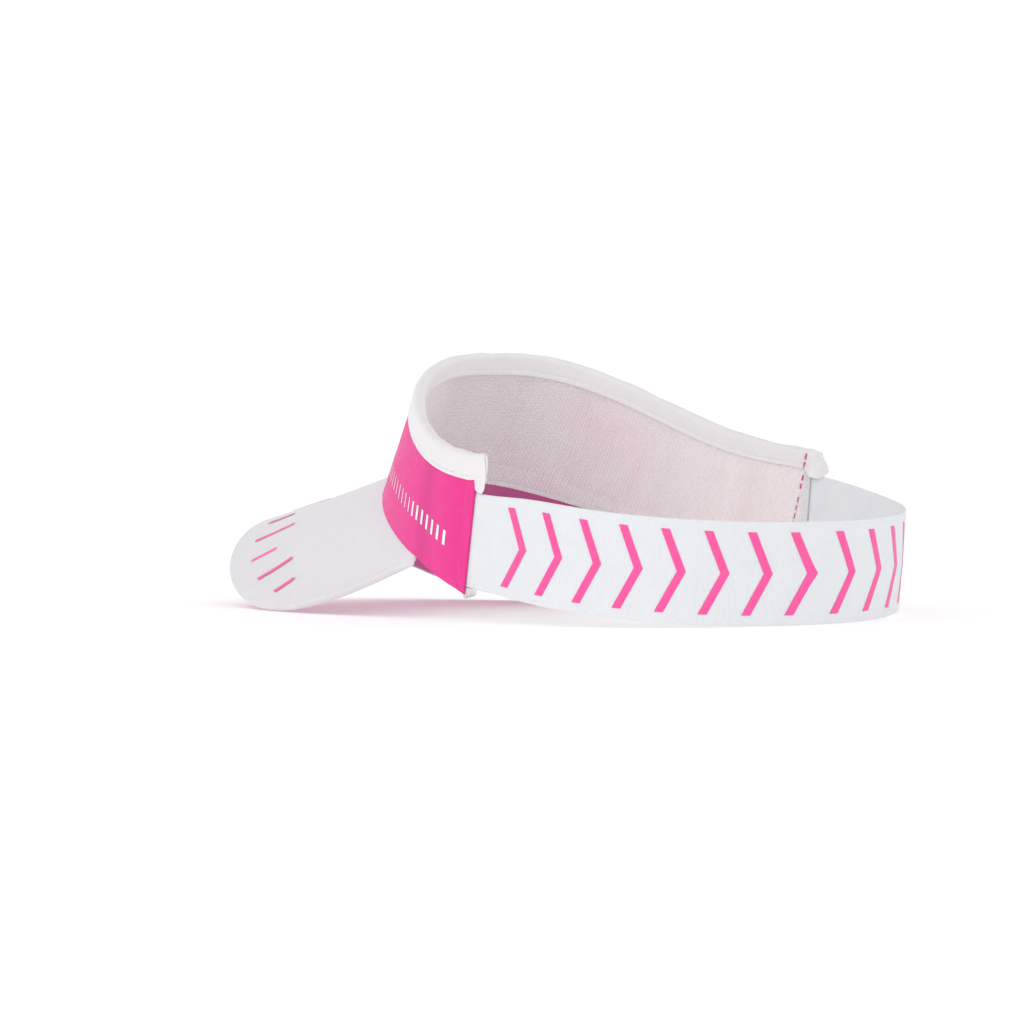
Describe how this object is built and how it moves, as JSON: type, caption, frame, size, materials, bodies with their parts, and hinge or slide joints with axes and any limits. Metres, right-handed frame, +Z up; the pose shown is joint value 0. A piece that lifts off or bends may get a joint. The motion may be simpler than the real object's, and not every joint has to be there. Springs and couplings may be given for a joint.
{
  "type": "sun visor",
  "caption": "Running sun visor: pink half-ring front panel with a curved white brim, terry sweatband and a wide white elastic band.",
  "frame": {"origin": "centre of the bounding box, on the table that the visor stands on", "axes": "+Z up, -Y toward the brim's front, +X toward the wearer's left"},
  "size_m": [0.1617, 0.2806, 0.0912],
  "materials": {
    "panel_satin": "smooth pink polyester satin with a soft sheen",
    "buckram": "stiff woven buckram",
    "terry": "ribbed grey-pink terry",
    "white_thread": "white overlock thread",
    "binding_satin": "white satin bias binding",
    "pink_thread": "pink sewing thread",
    "brim_board": "flexible polyethylene board",
    "brim_satin": "light grey-white polyester satin",
    "brim_lining": "magenta polyester satin",
    "white_print": null,
    "pink_print": null,
    "elastic": "white woven elastic with fine ribs"
  },
  "bodies": {
    "front": {"front_panel": "panel_satin", "panel_stiffener": "buckram", "sweatband": "terry", "sweatband_overlock": "white_thread", "top_binding": "binding_satin", "binding_stitch": "white_thread", "brim_board": "brim_board", "brim_top_cover": "brim_satin", "brim_under_cover": "brim_lining", "brim_edge_seam": "brim_satin", "brim_seam_allowance": "brim_satin", "brim_joint_stitch": "pink_thread", "left_seam_stitch": "pink_thread", "right_seam_stitch": "pink_thread", "left_seam_overlock": "white_thread", "right_seam_overlock": "white_thread", "panel_print": "white_print", "brim_print": "pink_print"},
    "band": {"elastic_band": "elastic", "band_print": "pink_print"}
  },
  "joints": [
    {"name": "band_stretch", "type": "slide", "parent": "front", "child": "band", "axis": [0, 0.9919, -0.1274], "range_m": [0, 0.025], "stiffness_N_per_m": 300, "deforming": ["elastic_band", "band_print"]}
  ]
}
